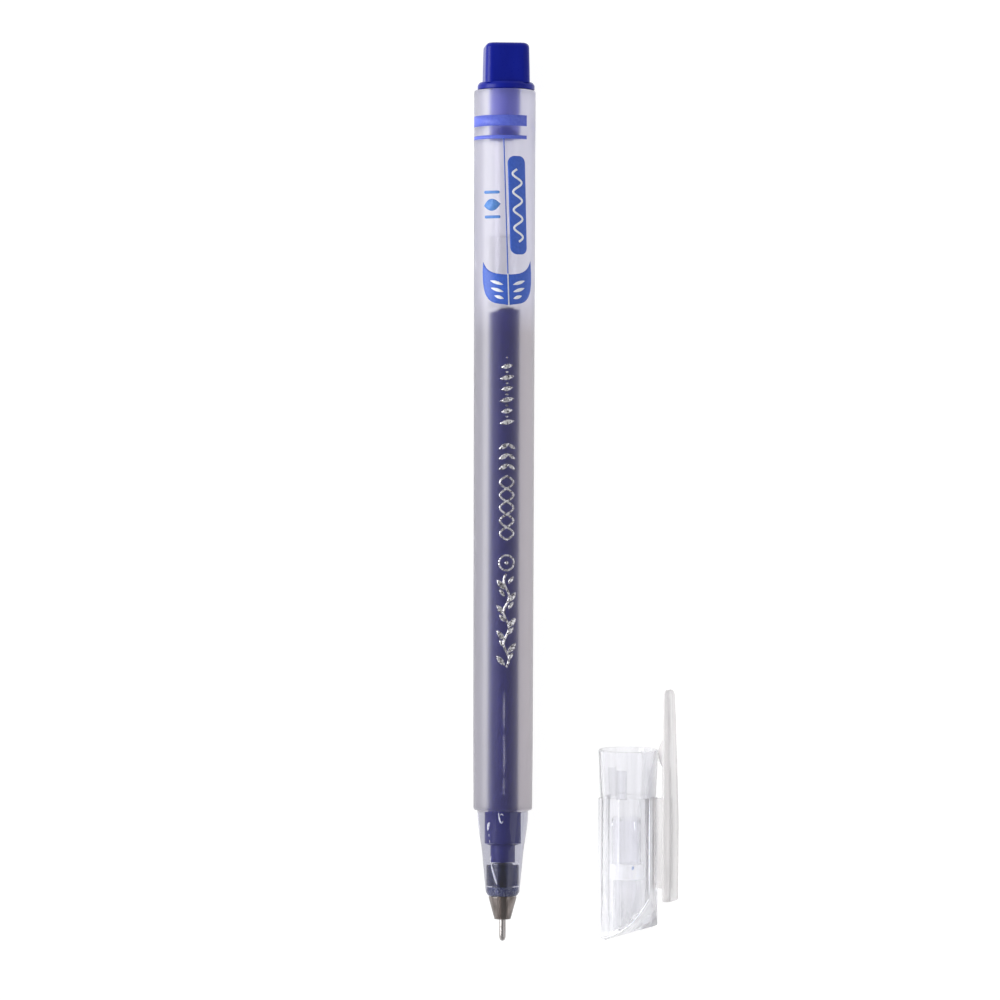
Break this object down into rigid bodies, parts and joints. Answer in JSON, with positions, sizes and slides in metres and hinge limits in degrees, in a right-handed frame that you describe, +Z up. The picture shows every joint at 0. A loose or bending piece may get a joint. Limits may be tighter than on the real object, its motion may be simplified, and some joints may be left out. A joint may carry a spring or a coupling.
{
  "type": "gel pen",
  "caption": "Direct-fill gel pen with a frosted barrel, needle tip and blue end plug, lying beside its clear cap, which has a milky clip.",
  "frame": {"origin": "on the table, under the middle of the box round the pen and its cap", "axes": "+Y along the pen from the writing ball to the end plug, +X from the pen to its cap, +Z up from the table"},
  "size_m": [0.0342, 0.1494, 0.0102],
  "materials": {
    "frosted_plastic": "frosted translucent, clear and glossy at the nose",
    "blue_plastic": "glossy opaque dark blue",
    "gel_ink": "opaque dark blue gel",
    "clear_grease": "clear gel",
    "smoky_plastic": "translucent smoky grey, glossy",
    "needle_steel": "drawn stainless steel",
    "ball_metal": "polished hard metal",
    "clear_plastic": "water-clear, glossy",
    "white_rubber": "soft, slightly translucent white",
    "milky_plastic": "milky translucent, faintly warm"
  },
  "bodies": {
    "pen": {"barrel": "frosted_plastic", "end_plug": "blue_plastic", "ink_column": "gel_ink", "tip_holder": "smoky_plastic", "needle_tube": "needle_steel", "ball_spring": "needle_steel"},
    "follower": {"ink_follower": "clear_grease"},
    "ball": {"writing_ball": "ball_metal"},
    "cap": {"cap_shell": "clear_plastic", "needle_sleeve": "clear_plastic", "seal_pad": "white_rubber", "clip_root": "milky_plastic"},
    "clip": {"clip_arm": "milky_plastic"}
  },
  "joints": [
    {"name": "cap_travel", "type": "slide", "parent": "pen", "child": "cap", "axis": [-0.3853, -0.9228, 0], "range_m": [0, 0.05418]},
    {"name": "clip_flex", "type": "hinge", "parent": "cap", "child": "clip", "pos_m": [0.01572, -0.0466, 0.00734], "axis": [0.309, 0, -0.9511], "range_deg": [0, 8], "stiffness_Nm_per_rad": 0.3},
    {"name": "follower_slide", "type": "slide", "parent": "pen", "child": "follower", "axis": [0, -1, 0], "range_m": [0, 0.0885], "deforming": ["ink_column"]},
    {"name": "ball_roll", "type": "hinge", "parent": "pen", "child": "ball", "pos_m": [-0.01201, -0.0745, 0.00512], "axis": [1, 0, 0], "continuous": true}
  ]
}
